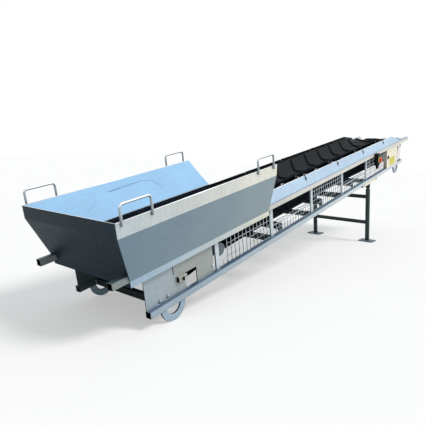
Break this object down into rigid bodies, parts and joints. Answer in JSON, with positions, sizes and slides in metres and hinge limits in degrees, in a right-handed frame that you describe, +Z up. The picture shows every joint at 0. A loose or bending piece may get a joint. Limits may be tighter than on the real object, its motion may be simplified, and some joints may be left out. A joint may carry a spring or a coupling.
{
  "type": "belt conveyor",
  "caption": "Inclined troughed belt conveyor with chevron cleats, a feed hopper at its foot, mesh side guards and a folding leg stand near the head.",
  "frame": {"origin": "middle of the conveyor's box, on the floor", "axes": "+X towards the discharge head, +Y towards the side without the switch, +Z up"},
  "size_m": [5.1528, 0.8778, 1.2917],
  "materials": {
    "galvanised": "hot-dip galvanised, dull sheen with faint spangle",
    "belt_rubber": "matt black with chevron cleats",
    "apron_rubber": "matt black sheet",
    "roller_steel": "bare turned steel",
    "black_plastic": "moulded housing",
    "red_plastic": "moulded button",
    "yellow_plastic": "flat yellow"
  },
  "bodies": {
    "conveyor": {"belt": "belt_rubber", "blank_plate": "yellow_plastic", "cross_tubes": "galvanised", "foot_plate_far": "galvanised", "foot_plate_near": "galvanised", "guards_full_far": "galvanised", "guards_full_near": "galvanised", "guards_half_far": "galvanised", "guards_half_near": "galvanised", "head_drum": "roller_steel", "head_plate_far": "galvanised", "head_plate_near": "galvanised", "hopper_aprons": "apron_rubber", "hopper_front": "galvanised", "hopper_handles_far": "galvanised", "hopper_handles_near": "galvanised", "hopper_wall_far": "galvanised", "hopper_wall_near": "galvanised", "idler_frames": "galvanised", "idler_rollers": "roller_steel", "leg_shoe_far": "galvanised", "leg_shoe_near": "galvanised", "lifting_eyes_far": "galvanised", "lifting_eyes_near": "galvanised", "posts_far": "galvanised", "posts_near": "galvanised", "power_inlet": "black_plastic", "rail_lower_far": "galvanised", "rail_lower_near": "galvanised", "rail_upper_far": "galvanised", "rail_upper_near": "galvanised", "return_brackets": "galvanised", "return_rollers": "roller_steel", "skirt_far": "galvanised", "skirt_near": "galvanised", "snub_rollers": "roller_steel", "stand_pins": "roller_steel", "stop_button": "red_plastic", "stop_collar": "yellow_plastic", "switch_box": "black_plastic", "tail_apron": "apron_rubber", "tail_drum": "roller_steel", "take_up_blocks": "galvanised"},
    "stand": {"base_plate_far": "galvanised", "base_plate_near": "galvanised", "stand_crossbars": "galvanised", "stand_leg_far": "galvanised", "stand_leg_near": "galvanised"}
  },
  "joints": [
    {"name": "stand_fold", "type": "hinge", "parent": "conveyor", "child": "stand", "pos_m": [1.13013, 0, 0.65543], "axis": [0, 1, 0], "range_deg": [0, 85]}
  ]
}
